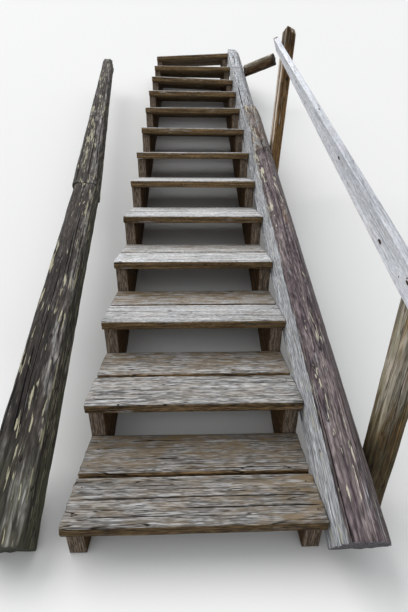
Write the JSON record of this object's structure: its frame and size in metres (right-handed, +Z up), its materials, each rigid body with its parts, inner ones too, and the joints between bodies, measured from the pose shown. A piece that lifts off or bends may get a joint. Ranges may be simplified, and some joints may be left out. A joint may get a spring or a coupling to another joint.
{
  "type": "wooden outdoor staircase",
  "caption": "Straight open-riser timber stair for a grassy slope, with cut stringers, plank treads, a hewn side log and a handrail on one side.",
  "frame": {"origin": "middle of the level foot of the left stringer", "axes": "+X across the stair to the right for someone going up, +Y up the slope along the run, +Z up"},
  "size_m": [2.0733, 5.0829, 2.5552],
  "materials": {
    "tread_plank": "weathered silver grey sawn plank",
    "stringer_plank": "weathered brown sawn plank",
    "side_log": "weathered grey hewn log",
    "border_beam": "dark weathered hewn timber with lichen",
    "post": "brown weathered sawn timber",
    "handrail": "pale silver weathered plank",
    "old_stub": "rotten weathered timber"
  },
  "bodies": {
    "root": {"tread_01_front": "tread_plank", "tread_01_back": "tread_plank", "tread_02_front": "tread_plank", "tread_02_back": "tread_plank", "tread_03_front": "tread_plank", "tread_03_back": "tread_plank", "tread_04_front": "tread_plank", "tread_04_back": "tread_plank", "tread_05_front": "tread_plank", "tread_05_back": "tread_plank", "tread_06_front": "tread_plank", "tread_06_back": "tread_plank", "tread_07_front": "tread_plank", "tread_07_back": "tread_plank", "tread_08_front": "tread_plank", "tread_08_back": "tread_plank", "tread_09_front": "tread_plank", "tread_09_back": "tread_plank", "tread_10_front": "tread_plank", "tread_10_back": "tread_plank", "tread_11_front": "tread_plank", "tread_11_back": "tread_plank", "tread_12_front": "tread_plank", "tread_12_back": "tread_plank", "tread_13_front": "tread_plank", "tread_13_back": "tread_plank", "left_stringer": "stringer_plank", "right_stringer": "stringer_plank", "side_log_lower": "side_log", "side_log_middle": "side_log", "side_log_upper": "side_log", "lower_post": "post", "upper_post": "post", "handrail": "handrail", "outer_stub": "old_stub", "border_beam_lower": "border_beam", "border_beam_upper": "border_beam"}
  },
  "joints": []
}
